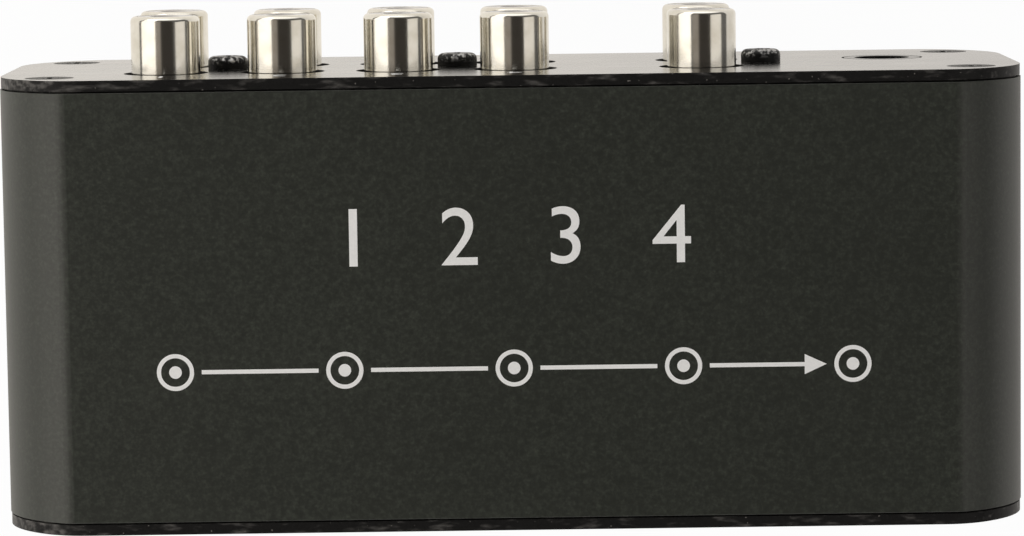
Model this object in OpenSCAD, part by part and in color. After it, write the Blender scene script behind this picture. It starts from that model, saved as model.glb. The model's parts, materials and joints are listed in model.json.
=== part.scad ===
// Selector box for four stereo sources, in a split extruded shell.
// The socket panel closes the rear, the control panel closes the front, and one
// circuit board carries everything between them.
// X runs along the socket rows, Y points out of the socket panel and Z is up.
// The origin lies on the surface that the box stands on, under the middle of the whole box.
// All sizes are in millimetres.

/* [Shell] */
// Width of the extruded shell
body_w = 122.5; // [116:0.5:160]
// Height of the extruded shell
body_h = 45; // [41:0.5:70]
// Length of the extrusion between the two end panels
body_l = 51; // [46:1:100]
// Radius of the long outer corners
corner_r = 13.4; // [10:0.2:15]
// How far the flat top and bottom cut into the corner rounds
corner_cut = 1; // [0.3:0.1:1.5]
// Radius that softens the edge between the flat faces and the corner rounds
crease_r = 2.8; // [1:0.1:4]
// Thickness of the shell wall
wall_t = 2; // [1.6:0.1:2.6]
// Height of the tongue that locks the two halves together
lap_h = 2.4; // [1.5:0.1:4]
// Side clearance between tongue and rebate
lap_clear = 0.1; // [0.05:0.05:0.3]
// Open seam between the two halves on the outside
seam_gap = 0.2; // [0.1:0.05:0.5]
// Distance of the corner screws from the shell's sides, top and bottom
screw_inset = 6.5; // [5.75:0.25:7.5]
// Outer radius of the screw channels
channel_r = 2.8; // [2.4:0.1:3.2]
// Reach of the board rails into the shell
rail_reach = 2.5; // [1.5:0.1:4]
// Thickness of a board rail
rail_t = 1.2; // [0.8:0.1:1.6]

/* [End panels] */
// Thickness of both end panels
panel_t = 1.5; // [1.2:0.1:2.5]
// How far the panels stay inside the shell's outline
panel_inset = 0.1; // [0:0.05:0.6]
// Radius that softens the creases of the panels' outline
panel_crease_r = 8; // [3:0.5:10]
// Width of the shadow line between each panel and the shell
line_w = 0.2; // [0.1:0.05:0.4]
// Depth of the shadow line
line_depth = 0.4; // [0.2:0.05:0.8]
// Thread diameter of the corner screws
panel_screw_d = 3; // [2.5:0.1:3.4]
// Head diameter of the corner screws
panel_screw_head_d = 5.8; // [5:0.1:6.4]
// Land of the corner holes under the countersink
sink_land = 0.1; // [0.05:0.05:0.3]
// Length of the corner screws
panel_screw_l = 8; // [5:0.5:14]
// Clearance around every screw, on the diameter
screw_clear = 0.1; // [0.05:0.05:0.4]

/* [Circuit board] */
// Height of the board's underside above the shell's underside
board_lift = 9.6; // [8.6:0.1:12]
// Thickness of the board
board_t = 1.6; // [1:0.1:2]
// Clearance of the board in its slots, on each face and edge
board_clear = 0.1; // [0.05:0.05:0.3]
// Gap between each end of the board and the end panels
board_end_gap = 0.5; // [0.2:0.1:2]
// Length of a lead below the board
lead_tail = 1.4; // [0.8:0.1:2.5]
// Clearance around a lead in its hole, on the diameter
lead_clear = 0.2; // [0.1:0.05:0.4]

/* [Phono sockets] */
// Distance between neighbouring input columns
column_pitch = 14; // [12.6:0.1:16]
// Distance between the two rows
row_pitch = 14; // [12.6:0.1:15]
// Distance of the first input column from the shell's side
input_side = 19.8; // [18:0.05:22]
// Distance of the output column from the other side
output_side = 38.2; // [36:0.05:41]
// Distance of the output block's screw from its column
output_screw_step = 7.55; // [6.8:0.05:8.5]
// Height of the lower row's axis above the board
socket_axis_h = 6.2; // [5.6:0.1:7]
// Outer diameter of a socket sleeve
sleeve_d = 8.3; // [7.6:0.1:9]
// Wall of a socket sleeve
sleeve_wall = 0.7; // [0.65:0.05:0.9]
// How far a sleeve stands out of the panel
sleeve_proud = 6.9; // [5:0.1:9]
// Rounding of the sleeve's rim
rim_r = 0.65; // [0.2:0.05:0.65]
// Shoulder where the sleeve seats on its collar
sleeve_step = 0.2; // [0.1:0.05:0.4]
// Depth of the sleeve's shank inside the block
shank_l = 6; // [4:0.5:7]
// Diameter of the plastic collar that fills a panel hole
collar_d = 10; // [9.4:0.1:10.6]
// How far a collar's face stays behind the panel's outer face
collar_recess = 0.8; // [0.4:0.1:1.1]
// Clearance of a collar in its panel hole, on the diameter
collar_clear = 0.2; // [0.1:0.05:0.4]
// Clearance between the nested pieces of a socket, on the diameter
socket_clear = 0.1; // [0.05:0.05:0.2]
// Depth of a socket block behind the panel
block_depth = 9; // [8:0.5:12]
// Gap between neighbouring socket blocks
block_gap = 0.6; // [0.2:0.1:1.5]
// How far an insulator stays behind the sleeve's rim
insulator_recess = 0.05; // [0.05:0.05:1]
// Diameter of the hole for the plug's centre pin
pin_hole_d = 3.5; // [3.3:0.05:3.8]
// Length of the hole for the plug's centre pin
pin_hole_l = 9; // [8:0.5:10]
// Inner diameter of the sprung centre contact
contact_id = 3.24; // [3.1:0.02:3.28]
// Wall of the sprung centre contact
contact_wall = 0.5; // [0.4:0.05:0.6]
// Length of the sprung centre contact
contact_l = 6.4; // [5:0.1:7]
// Width of the slits in the centre contact
contact_slit = 0.4; // [0.2:0.05:0.6]
// Width of a contact's lead
tab_w = 1.2; // [0.8:0.1:1.6]
// Thickness of a contact's lead
tab_t = 0.5; // [0.3:0.05:0.7]
// Sideways step of the upper row's leads
tab_step = 4.8; // [4.2:0.1:5.4]

/* [Socket screws] */
// Thread diameter of the screws that hold the socket blocks
block_screw_d = 2.9; // [2.5:0.1:3.2]
// Head diameter of those screws
block_screw_head_d = 4.8; // [4.2:0.1:5]
// Head height of those screws
block_screw_head_h = 1.6; // [1.2:0.1:2]
// Rounding of the screw heads
block_screw_head_r = 0.7; // [0.3:0.1:0.9]
// Length of those screws under the head
block_screw_l = 8; // [6:0.5:10]
// Solid edge of the output block beyond its screw
block_edge = 3.4; // [3:0.1:5]

/* [Cross recess] */
// Width of the cross slots in every screw head
cross_w = 0.7; // [0.5:0.05:0.9]
// Length of the cross slots
cross_l = 2.6; // [2:0.1:3]
// Depth of the cross slots
cross_depth = 0.9; // [0.5:0.1:1.1]

/* [Power inlet] */
// Distance of the power inlet from the shell's side
power_side = 15.25; // [14.5:0.25:19]
// Height of the inlet's axis above the board
power_axis_h = 6.5; // [6:0.1:7.2]
// Width of the inlet's body
power_w = 9; // [8.4:0.1:9.4]
// Height of the inlet's body above its axis
power_over = 4.5; // [4.2:0.1:5.5]
// Depth of the inlet's body behind the panel
power_depth = 12.5; // [11:0.5:16]
// Diameter of the inlet's round nose in the panel
power_nose_d = 9.4; // [8.8:0.1:9.8]
// Clearance of the nose in its panel hole, on the diameter
power_nose_clear = 0.6; // [0.2:0.1:0.8]
// Diameter of the inlet's mouth
power_mouth_d = 6.8; // [6.7:0.1:7.4]
// Depth of the inlet's mouth
power_mouth_l = 2.2; // [2:0.1:2.6]
// Diameter of the bore that takes the plug's barrel
power_bore_d = 6.4; // [6:0.05:6.4]
// Depth of that bore, from the face
power_bore_l = 10.5; // [9:0.5:11]
// Diameter of the inlet's centre pin
power_pin_d = 2; // [1.6:0.1:2.6]
// Diameter of the pin's tail in the inlet's back wall
power_tail_d = 1.6; // [1.2:0.1:1.9]
// How far the pin's tip stays behind the face
power_pin_recess = 2.6; // [2.4:0.1:3.2]
// Thickness of the sprung leaf beside the bore
leaf_t = 0.3; // [0.2:0.05:0.5]
// Width of the sprung leaf
leaf_w = 2; // [1.5:0.1:2.6]
// Clearance around the leaf in its slot
leaf_clear = 0.15; // [0.1:0.05:0.3]

/* [Select button] */
// Distance of the select button from the shell's side
button_side = 19.25; // [17:0.25:23]
// Diameter of the button
button_d = 10; // [8:0.1:11]
// How far the button stands out of the panel
button_proud = 3; // [2.2:0.1:5]
// Travel of the button
button_travel = 2; // [1:0.1:2.2]
// Running gap around the button
button_gap = 0.35; // [0.25:0.05:0.6]
// Rounding of the button's face edge
button_edge_r = 0.8; // [0.3:0.1:1.2]
// Width of the flange that keeps the button behind the panel
button_flange = 1.2; // [1:0.1:2]
// Thickness of that flange
button_flange_t = 1; // [0.8:0.1:1.6]
// Diameter of the button's hub
button_hub_d = 6.4; // [5.6:0.1:7.4]
// Length of the button's hub
button_hub_l = 2.5; // [1.5:0.1:4]
// Depth of the plunger's seat in the button
button_seat_l = 3.5; // [2:0.1:4.5]
// Gap between the button's flange and the notch in the board
button_notch_gap = 0.5; // [0.3:0.1:1]
// Free space between hub and switch at full travel
button_reserve = 0.6; // [0.3:0.1:1.5]

/* [Push switch] */
// Width and height of the push switch
switch_w = 8.5; // [8:0.1:9]
// Length of the switch housing
switch_l = 10.8; // [10:0.1:14]
// Thickness of the switch housing's walls
switch_wall = 1.2; // [0.9:0.05:1.3]
// Thickness of the switch base
switch_base_t = 1.2; // [0.8:0.1:2]
// Width of the plunger's square stem
stem_w = 3.3; // [2.8:0.1:3.6]
// Gap around the stem in the housing
stem_gap = 0.2; // [0.15:0.05:0.4]
// Seat clearance of the stem in the button
seat_clear = 0.05; // [0.02:0.01:0.1]
// Gap around the plunger's shoulder in the housing
shoulder_gap = 0.35; // [0.25:0.05:0.5]
// Thickness of the plunger's shoulder
shoulder_t = 2; // [1.4:0.1:2.4]
// Gap between shoulder and housing at rest
rest_gap = 0.1; // [0.05:0.05:0.2]
// Diameter of the plunger's spring guide
guide_d = 2.2; // [1.6:0.1:2.4]
// Length of the plunger's spring guide
guide_l = 3; // [1:0.1:3.4]
// Wire diameter of the return spring
spring_wire_d = 0.4; // [0.3:0.05:0.45]
// Mean diameter of the return spring
spring_d = 4; // [3.6:0.1:4.4]
// Number of turns of the return spring
spring_turns = 6; // [4:0.5:7]
// Gap between the spring's ends and their seats
spring_gap = 0.05; // [0.02:0.01:0.1]
// Distance between neighbouring switch terminals
terminal_pitch = 2.5; // [2:0.1:3]
// Distance between the two terminal rows
terminal_row = 5; // [4:0.1:6]
// Width of a switch terminal
terminal_w = 0.6; // [0.4:0.05:0.8]

/* [Channel lamps] */
// Middle of the row of channel lamps
lamp_mid_x = 4; // [0:0.5:6]
// Distance between neighbouring lamps
lamp_pitch = 12; // [8:0.5:12.5]
// Diameter of a lamp's lens
lamp_d = 3; // [2.6:0.1:3.4]
// Diameter of a lamp's rim
lamp_rim_d = 3.8; // [3.6:0.1:4.4]
// Thickness of a lamp's rim
lamp_rim_t = 1; // [0.8:0.1:1.2]
// Overall length of a lamp
lamp_l = 5.3; // [5:0.1:7]
// How far a lamp stands out of the panel
lamp_proud = 0.8; // [0.2:0.1:1.4]
// Clearance of a lamp in its panel hole, on the diameter
lamp_clear = 0.2; // [0.1:0.05:0.4]
// Thickness of a lamp's leads
lamp_lead_d = 0.5; // [0.4:0.05:0.6]
// Distance between a lamp's two leads
lamp_lead_pitch = 2.54; // [2:0.01:2.6]
// Straight stretch of a lead before its bend
lamp_lead_run = 2; // [1:0.1:3]

/* [Remote receiver] */
// Distance of the remote receiver and its window from the shell's side
remote_side = 19.25; // [17:0.25:27]
// Width of the window
window_w = 13; // [10:0.5:15]
// Height of the window
window_h = 8; // [7:0.25:8]
// Width of the window's flange behind the panel
window_flange = 1; // [0.8:0.1:1.5]
// Thickness of the window's flange
window_flange_t = 1; // [0.6:0.1:1.5]
// Clearance of the window in its opening
window_clear = 0.1; // [0.05:0.05:0.2]
// Width of the receiver
receiver_w = 5.6; // [5:0.1:7]
// Thickness of the receiver
receiver_t = 4; // [3:0.1:5]
// Height of the receiver above its lens
receiver_over = 3; // [2.7:0.1:4]
// Radius of the receiver's lens
receiver_lens_r = 2.3; // [1.8:0.1:2.5]
// Free space between lens and window
receiver_gap = 0.8; // [0.4:0.1:3]

/* [Board parts] */
// Length of a chip
chip_l = 10; // [8:0.5:13]
// Width of a chip's body
chip_w = 4; // [3.5:0.1:6]
// Thickness of a chip's body
chip_t = 1.6; // [1:0.1:2.5]
// Height of a chip's body above the board
chip_lift = 0.15; // [0.05:0.05:0.3]
// Reach of a chip's leads on each side
chip_reach = 1; // [0.8:0.1:1.5]
// Number of leads on each side of a chip
chip_leads = 8; // [4:1:8]
// Distance between neighbouring chip leads
chip_pitch = 1.1; // [0.8:0.05:1.27]
// Width of a chip's lead
chip_lead_w = 0.4; // [0.3:0.05:0.5]
// Thickness of a chip's lead
chip_lead_t = 0.2; // [0.15:0.05:0.3]
// Distance of the switching chips from the socket blocks
chip_space = 8; // [5:0.5:10]
// Distance of the controller from the board's front edge
controller_space = 12; // [10:0.5:13]
// Diameter of a capacitor
capacitor_d = 6.3; // [5:0.1:8]
// Height of a capacitor
capacitor_h = 8; // [5:0.5:12]
// Distance between the two capacitors
capacitor_pitch = 8.5; // [8.1:0.1:10]
// Width of the regulator
regulator_w = 10; // [8:0.5:10.5]
// Thickness of the regulator's body
regulator_t = 4.4; // [3:0.1:5]
// Height of the regulator's body
regulator_h = 9; // [8:0.5:12]
// Thickness of the regulator's metal tab
regulator_tab_t = 1.2; // [0.8:0.1:1.6]
// Height of the tab above the body
regulator_tab_h = 6; // [4:0.5:7]
// Hole in the regulator's tab
regulator_hole_d = 3.6; // [3:0.1:4]
// Gap between regulator and power inlet
regulator_space = 2; // [1:0.5:3]

/* [Feet] */
// Diameter of a rubber foot
foot_d = 9; // [6:0.5:12]
// Height of a rubber foot
foot_h = 2; // [1:0.25:4]
// Bevel of a rubber foot
foot_bevel = 0.5; // [0.2:0.1:0.8]
// Distance of the feet from the shell's long sides
foot_inset_x = 17; // [15.5:0.5:25]
// Distance of the feet from the ends of the extrusion
foot_inset_y = 9; // [7:0.5:15]

/* [Hidden] */

// Smoothness of the round faces
$fn = 64;
// Extra depth of a cut beyond the face that it opens
over = 1;
// Largest share of a corner's round that a softened crease may take up
soft_share = 0.8;

// Heights
shell_low = foot_h;
shell_top = shell_low + body_h;
shell_mid = shell_low + body_h / 2;
board_low = shell_low + board_lift;
board_top = board_low + board_t;
lower_z = board_top + socket_axis_h;
upper_z = lower_z + row_pitch;
power_z = board_top + power_axis_h;
button_z = board_top + switch_w / 2;
tail_z = board_low - lead_tail;

// Places along Y, with the whole box centred on the origin
mid_y = (button_proud - sleeve_proud) / 2;
rear_in = mid_y + body_l / 2;
rear_out = rear_in + panel_t;
front_in = mid_y - body_l / 2;
front_out = front_in - panel_t;
rim_y = rear_out + sleeve_proud;
block_back = rear_in - block_depth;
power_back = rear_in - power_depth;

// Places along X
power_x = body_w / 2 - power_side;
button_x = body_w / 2 - button_side;
remote_x = remote_side - body_w / 2;
input_x = [for (i = [0:3]) input_side - body_w / 2 + i * column_pitch];
output_x = body_w / 2 - output_side;
block_1_x = (input_x[0] + input_x[1]) / 2;
block_2_x = (input_x[2] + input_x[3]) / 2;
output_screw_x = output_x + output_screw_step;
lamp_x = [for (i = [0:3]) lamp_mid_x + (i - 1.5) * lamp_pitch];
corner_x = body_w / 2 - screw_inset;
corner_z = [shell_low + screw_inset, shell_top - screw_inset];
sink_h = panel_t - sink_land;
corners = [for (x = [-corner_x, corner_x], z = corner_z) [x, z]];

// Board
board_w = body_w - 2 * wall_t - 2 * board_clear;
board_front = front_in + board_end_gap;
board_rear = rear_in - board_end_gap;
slot_low = board_low - board_clear;
slot_top = board_top + board_clear;

// Socket pieces
sleeve_id = sleeve_d - 2 * sleeve_wall;
shank_d = sleeve_d - 2 * sleeve_step;
insulator_d = sleeve_id - socket_clear;
cell_w = column_pitch - block_gap;
block_top = upper_z + cell_w / 2;
contact_d = contact_id + 2 * contact_wall;
chamber_d = contact_d + socket_clear;
panel_hole_d = collar_d + collar_clear;
seat_y = rear_out - collar_recess;
block_screw_z = (lower_z + upper_z) / 2;

// Button and switch, from the panel inwards
cap_front = front_out - button_proud;
flange_front = front_in + button_gap;
cap_back = flange_front + button_flange_t;
hub_back = cap_back + button_hub_l;
notch_w = button_d + 2 * button_flange + 2 * button_notch_gap;
switch_front = hub_back + button_travel + button_reserve;
switch_back = switch_front + switch_l;
shoulder_front = switch_front + switch_wall + rest_gap;
shoulder_back = shoulder_front + shoulder_t;
chamber_w = switch_w - 2 * switch_wall;
shoulder_w = chamber_w - 2 * shoulder_gap;
spring_front = shoulder_back + spring_gap;
spring_back = switch_back - spring_gap;
terminal_x = [for (s = [-1, 1]) button_x + s * terminal_row / 2];
terminal_y = [for (k = [-1:1]) (switch_front + switch_back) / 2 + k * terminal_pitch];

// Lamps
lamp_tip = front_out - lamp_proud;
lamp_back = lamp_tip + lamp_l;
lamp_bend = lamp_back + lamp_lead_run;

// Window and receiver
window_back = front_in + window_flange_t;
lens_y = window_back + receiver_gap + receiver_lens_r;

// Power inlet pieces
power_floor = rear_out - power_bore_l;
leaf_z = power_z - power_bore_d / 2 - leaf_clear - leaf_t;

// Leads that pass through the board: place and hole size
upper_tab_x = [for (x = concat(input_x, [output_x])) x + tab_step];
lower_tab_x = concat(input_x, [output_x]);
tab_y = block_back - tab_t / 2;
power_tab_y = power_back - tab_t / 2;
leaf_tab_y = power_back + power_depth / 2;
lead_holes = concat(
    [for (x = concat(upper_tab_x, lower_tab_x)) [x, tab_y, norm([tab_w, tab_t])]],
    [for (x = lamp_x, s = [-1, 1]) [x + s * lamp_lead_pitch / 2, lamp_bend, lamp_lead_d]],
    [for (x = terminal_x, y = terminal_y) [x, y, norm([terminal_w, terminal_w])]],
    [[power_x, power_tab_y, norm([tab_w, tab_t])], [power_x, leaf_tab_y, norm([tab_w, tab_t])]]
);

// Flat outline in X and Z, drawn out along Y from y0
module along_y(y0, len) {
    translate([0, y0 + len, 0])
        rotate([90, 0, 0])
            linear_extrude(len)
                children();
}

// Round bar along Y from y0
module bar_y(d, y0, len) {
    translate([0, y0, 0])
        rotate([-90, 0, 0])
            cylinder(d = d, h = len);
}

// Turned shape whose axis points along Y
module turned_y(y0) {
    translate([0, y0, 0])
        rotate([-90, 0, 0])
            rotate_extrude()
                children();
}

// Block between two corners
module block(a, b) {
    translate(a)
        cube(b - a);
}

// Rectangle with round corners, centred
module round_rect(w, h, r) {
    square([w, h - 2 * r], center = true);
    square([w - 2 * r, h], center = true);
    for (x = [-1, 1], y = [-1, 1])
        translate([x * (w / 2 - r), y * (h / 2 - r)])
            circle(r);
}

// Half section of a disc from the axis out, with a round outer edge at its top
module edge_rounded(r, h, edge) {
    square([r - edge, h]);
    square([r, h - edge]);
    translate([r - edge, h - edge])
        circle(edge);
}

// Cross slots sunk into a face at y, opening towards +Y
module cross_recess(y) {
    for (a = [0, 90])
        translate([0, y - cross_depth, 0])
            rotate([0, a, 0])
                translate([-cross_l / 2, 0, -cross_w / 2])
                    cube([cross_l, cross_depth + over, cross_w]);
}

// Outline of the box, shrunk by inset: its flats meet the round corners at creases softened by soft_r
module box_outline(inset, soft_r) {
    w = body_w - 2 * inset;
    h = body_h - 2 * inset;
    r = corner_r - inset;
    // Round that softens a crease, and its place seen from the middle of the corner round
    soft = min(soft_r, soft_share * (r - corner_cut));
    rise = r - corner_cut - soft;
    reach = r - soft;
    side = sqrt(pow(reach, 2) - pow(rise, 2));
    crease = [w / 2 - r + side, h / 2 - soft];
    translate([0, shell_mid]) {
        difference() {
            intersection() {
                square([w, h], center = true);
                round_rect(w, h + 2 * corner_cut, r);
            }
            for (x = [0, 1], z = [0, 1])
                mirror([x, 0])
                    mirror([0, z])
                        polygon([
                            crease,
                            crease + [0, 2 * soft],
                            crease + 2 * soft * [side, rise] / reach
                        ]);
        }
        for (x = [-1, 1], z = [-1, 1])
            translate([x * crease[0], z * crease[1]])
                circle(soft);
    }
}

// Corner material around one screw hole, at the right-hand bottom corner
module screw_channel() {
    translate([corner_x, corner_z[0]]) {
        circle(channel_r);
        translate([-channel_r, -screw_inset])
            square([channel_r + screw_inset, screw_inset]);
        translate([0, -screw_inset])
            square([screw_inset, screw_inset + channel_r]);
    }
}

// Both rails of one board slot, on the right-hand wall
module board_rails() {
    translate([body_w / 2 - wall_t - rail_reach, slot_low - rail_t])
        square([rail_reach + wall_t / 2, slot_top - slot_low + 2 * rail_t]);
}

// One half of the extrusion's section: walls, screw channels and board rails below the middle
module half_section() {
    difference() {
        intersection() {
            box_outline(0, crease_r);
            union() {
                difference() {
                    box_outline(0, crease_r);
                    box_outline(wall_t, crease_r);
                }
                for (s = [0, 1])
                    mirror([s, 0]) {
                        screw_channel();
                        board_rails();
                    }
            }
        }
        translate([-body_w / 2 - over, shell_mid])
            square([body_w + 2 * over, body_h]);
        translate([-board_w / 2 - board_clear, slot_low])
            square([board_w + 2 * board_clear, slot_top - slot_low]);
        for (s = [-1, 1])
            translate([s * corner_x, corner_z[0]])
                circle(d = panel_screw_d + screw_clear);
    }
}

// Lower half of the shell, with a locking tongue on each side wall
module bottom_shell() {
    color([0.09, 0.09, 0.085])
        along_y(front_in, body_l) {
            half_section();
            for (s = [0, 1])
                mirror([s, 0])
                    translate([body_w / 2 - wall_t, shell_mid - over])
                        square([wall_t / 2 - lap_clear, lap_h + over]);
        }
}

// Upper half of the shell, rebated over the tongues and open at the seam
module top_shell() {
    color([0.1, 0.1, 0.095])
        along_y(front_in, body_l)
            difference() {
                translate([0, 2 * shell_mid])
                    mirror([0, 1])
                        half_section();
                for (s = [0, 1])
                    mirror([s, 0]) {
                        translate([body_w / 2 - wall_t - over, shell_mid - over])
                            square([wall_t / 2 + over, lap_h + over]);
                        translate([body_w / 2 - wall_t - over, shell_mid - over])
                            square([wall_t + 2 * over, seam_gap + over]);
                    }
            }
}

// Plain end panel with a shadow line and countersunk corner holes, its outer face at y_out towards side
module end_panel(y_in, side) {
    y_out = y_in + side * panel_t;
    y_line = y_in + side * line_w;
    difference() {
        union() {
            along_y(min(y_in, y_out), panel_t)
                box_outline(panel_inset + line_depth, panel_crease_r);
            along_y(min(y_line, y_out), panel_t - line_w)
                box_outline(panel_inset, panel_crease_r);
        }
        for (c = corners)
            translate([c[0], y_out, c[1]])
                rotate([side * 90, 0, 0]) {
                    translate([0, 0, -over])
                        cylinder(d = panel_screw_d + screw_clear, h = panel_t + 2 * over);
                    cylinder(
                        d1 = panel_screw_head_d + screw_clear,
                        d2 = panel_screw_d + screw_clear,
                        h = sink_h
                    );
                }
    }
}

// Socket panel at the rear
module rear_panel() {
    color([0.12, 0.12, 0.115])
        difference() {
            end_panel(rear_in, 1);
            for (x = lower_tab_x, z = [lower_z, upper_z])
                translate([x, 0, z])
                    bar_y(panel_hole_d, rear_in - over, panel_t + 2 * over);
            for (x = [block_1_x, block_2_x, output_screw_x])
                translate([x, 0, block_screw_z])
                    bar_y(block_screw_d + 2 * screw_clear, rear_in - over, panel_t + 2 * over);
            translate([power_x, 0, power_z])
                bar_y(power_nose_d + power_nose_clear, rear_in - over, panel_t + 2 * over);
        }
}

// Control panel at the front
module front_panel() {
    color([0.1, 0.1, 0.095])
        difference() {
            end_panel(front_in, -1);
            translate([button_x, 0, button_z])
                bar_y(button_d + 2 * button_gap, front_out - over, panel_t + 2 * over);
            for (x = lamp_x)
                translate([x, 0, button_z])
                    bar_y(lamp_d + lamp_clear, front_out - over, panel_t + 2 * over);
            along_y(front_out - over, panel_t + 2 * over)
                translate([remote_x, button_z])
                    square([window_w, window_h], center = true);
        }
}

// Countersunk screw along -Y, its face at the origin
module corner_screw() {
    difference() {
        rotate([90, 0, 0]) {
            cylinder(d1 = panel_screw_head_d, d2 = panel_screw_d, h = sink_h);
            cylinder(d = panel_screw_d, h = panel_screw_l);
        }
        cross_recess(0);
    }
}

// Four screws of the rear panel
module rear_panel_screws() {
    color([0.06, 0.06, 0.06])
        for (c = corners)
            translate([c[0], rear_out, c[1]])
                corner_screw();
}

// Four screws of the front panel
module front_panel_screws() {
    color([0.06, 0.06, 0.06])
        for (c = corners)
            translate([c[0], front_out, c[1]])
                mirror([0, 1, 0])
                    corner_screw();
}

// Circuit board, held in the lower slots, with a hole for every lead and a notch for the button
module main_board() {
    color([0.05, 0.25, 0.12])
        difference() {
            block(
                [-board_w / 2, board_front, board_low],
                [board_w / 2, board_rear, board_top]
            );
            for (h = lead_holes)
                translate([h[0], h[1], board_low - over])
                    cylinder(d = h[2] + lead_clear, h = board_t + 2 * over);
            block(
                [button_x - notch_w / 2, board_front - over, board_low - over],
                [button_x + notch_w / 2, cap_back + button_travel + button_notch_gap, board_top + over]
            );
        }
}

// Bores of one socket column in its block
module column_bores(x) {
    for (z = [lower_z, upper_z])
        translate([x, 0, z]) {
            bar_y(shank_d + socket_clear, rear_in - shank_l, shank_l + panel_t + over);
            bar_y(insulator_d + socket_clear, block_back - over, block_depth + over);
        }
}

// Collars of one socket column, which fill the panel holes
module column_collars(x) {
    for (z = [lower_z, upper_z])
        translate([x, 0, z])
            bar_y(collar_d, rear_in - over, seat_y - rear_in + over);
}

// Socket block from x0 to x1, for the columns xs, with a hole for its screw
module socket_block(x0, x1, xs, screw_x) {
    color([0.05, 0.05, 0.05])
        difference() {
            union() {
                block([x0, block_back, board_top], [x1, rear_in, block_top]);
                for (x = xs)
                    column_collars(x);
            }
            for (x = xs)
                column_bores(x);
            translate([screw_x, 0, block_screw_z])
                bar_y(block_screw_d + screw_clear, block_back - over, block_depth + 2 * over);
        }
}

// Block of the first two inputs
module inputs_1_2_block() {
    socket_block(input_x[0] - cell_w / 2, input_x[1] + cell_w / 2, [input_x[0], input_x[1]], block_1_x);
}

// Block of the last two inputs
module inputs_3_4_block() {
    socket_block(input_x[2] - cell_w / 2, input_x[3] + cell_w / 2, [input_x[2], input_x[3]], block_2_x);
}

// Block of the output
module output_block() {
    socket_block(output_x - cell_w / 2, output_screw_x + block_edge, [output_x], output_screw_x);
}

// Metal sleeve of one socket: a round-rimmed barrel outside and a shank in the block
module socket_sleeve(x, z) {
    color([0.78, 0.76, 0.72])
        translate([x, 0, z])
            difference() {
                union() {
                    turned_y(seat_y)
                        edge_rounded(sleeve_d / 2, rim_y - seat_y, rim_r);
                    bar_y(shank_d, rear_in - shank_l, shank_l + panel_t);
                }
                bar_y(sleeve_id, rear_in - shank_l - over, rim_y - rear_in + shank_l + 2 * over);
            }
}

// Plastic insulator of one socket, with the plug pin's hole and the contact's chamber
module socket_insulator(x, z) {
    front = rim_y - insulator_recess;
    color([0.88, 0.88, 0.86])
        translate([x, 0, z])
            difference() {
                bar_y(insulator_d, block_back, front - block_back);
                bar_y(pin_hole_d, front - pin_hole_l, pin_hole_l + over);
                bar_y(chamber_d, block_back - over, front - pin_hole_l - block_back + over);
            }
}

// Sprung centre contact of one socket, with its lead stepped aside and led down to the board
module centre_contact(x, z, step) {
    slit_l = contact_l - tab_t - contact_wall;
    difference() {
        translate([x, 0, z])
            bar_y(contact_d, block_back, contact_l);
        translate([x, 0, z])
            bar_y(contact_id, block_back + tab_t, contact_l);
        for (a = [0, 90])
            translate([x, block_back + contact_l - slit_l, z])
                rotate([0, a, 0])
                    translate([-contact_d, 0, -contact_slit / 2])
                        cube([2 * contact_d, slit_l + over, contact_slit]);
    }
    block(
        [x - tab_w / 2, block_back - tab_t, z - tab_w / 2],
        [x + step + tab_w / 2, block_back, z + tab_w / 2]
    );
    block(
        [x + step - tab_w / 2, block_back - tab_t, tail_z],
        [x + step + tab_w / 2, block_back, z]
    );
}

// Contacts of the socket columns xs
module column_contacts(xs) {
    color([0.8, 0.72, 0.45])
        for (x = xs) {
            centre_contact(x, upper_z, tab_step);
            centre_contact(x, lower_z, 0);
        }
}

// Contacts of the first two inputs
module inputs_1_2_contacts() {
    column_contacts([input_x[0], input_x[1]]);
}

// Contacts of the last two inputs
module inputs_3_4_contacts() {
    column_contacts([input_x[2], input_x[3]]);
}

// Contacts of the output
module output_contacts() {
    column_contacts([output_x]);
}

// Pan-head screws that pull the socket blocks against the panel
module socket_block_screws() {
    color([0.05, 0.05, 0.05])
        for (x = [block_1_x, block_2_x, output_screw_x])
            translate([x, 0, block_screw_z])
                difference() {
                    union() {
                        turned_y(rear_out)
                            edge_rounded(block_screw_head_d / 2, block_screw_head_h, block_screw_head_r);
                        bar_y(block_screw_d, rear_out - block_screw_l, block_screw_l);
                    }
                    cross_recess(rear_out + block_screw_head_h);
                }
}

// Plastic body of the power inlet: a box on the board and a round nose in the panel
module power_inlet_body() {
    leaf_slot = leaf_w + 2 * leaf_clear;
    color([0.04, 0.04, 0.04])
        difference() {
            union() {
                block(
                    [power_x - power_w / 2, power_back, board_top],
                    [power_x + power_w / 2, rear_in, power_z + power_over]
                );
                translate([power_x, 0, power_z])
                    bar_y(power_nose_d, rear_in - over, panel_t + over);
            }
            translate([power_x, 0, power_z]) {
                bar_y(power_mouth_d, rear_out - power_mouth_l, power_mouth_l + over);
                bar_y(power_bore_d, power_floor, power_bore_l);
                bar_y(power_tail_d + socket_clear, power_back - over, power_floor - power_back + 2 * over);
            }
            block(
                [power_x - leaf_slot / 2, power_back + tab_t, board_top - over],
                [power_x + leaf_slot / 2, rear_in - panel_t, power_z]
            );
        }
}

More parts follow.
